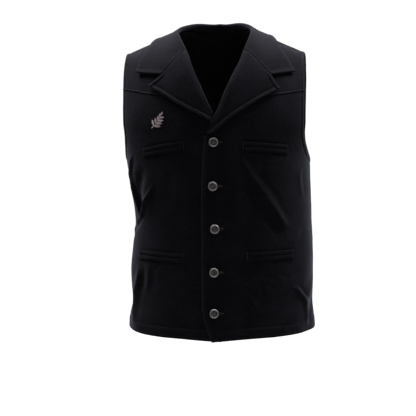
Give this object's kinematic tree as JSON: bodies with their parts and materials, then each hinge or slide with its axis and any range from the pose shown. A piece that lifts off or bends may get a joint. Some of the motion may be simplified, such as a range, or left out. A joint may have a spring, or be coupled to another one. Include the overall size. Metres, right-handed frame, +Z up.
{
  "type": "western vest",
  "caption": "Men's western vest of heavy black wool with notched collar, front yokes, piped pockets and metal buttons, standing open and hollow as worn.",
  "frame": {"origin": "midway between the two side neck points, where the wearer's shoulders carry the cloth", "axes": "+Z up, the front faces -Y, the wearer's left is +X"},
  "size_m": [0.4175, 0.272, 0.6848],
  "materials": {
    "wool": "napped black wool",
    "metal": "aged silver tone, cast, darkened in the hollows"
  },
  "bodies": {
    "root": {"back": "wool", "front_left": "wool", "front_right": "wool", "front_yoke_left": "wool", "front_yoke_right": "wool", "lapel_left": "wool", "lapel_right": "wool", "collar": "wool", "welt_chest_left_upper": "wool", "welt_chest_left_lower": "wool", "welt_chest_right_upper": "wool", "welt_chest_right_lower": "wool", "welt_waist_left_upper": "wool", "welt_waist_left_lower": "wool", "welt_waist_right_upper": "wool", "welt_waist_right_lower": "wool", "button_1": "metal", "button_2": "metal", "button_3": "metal", "button_4": "metal", "button_5": "metal"}
  },
  "joints": []
}
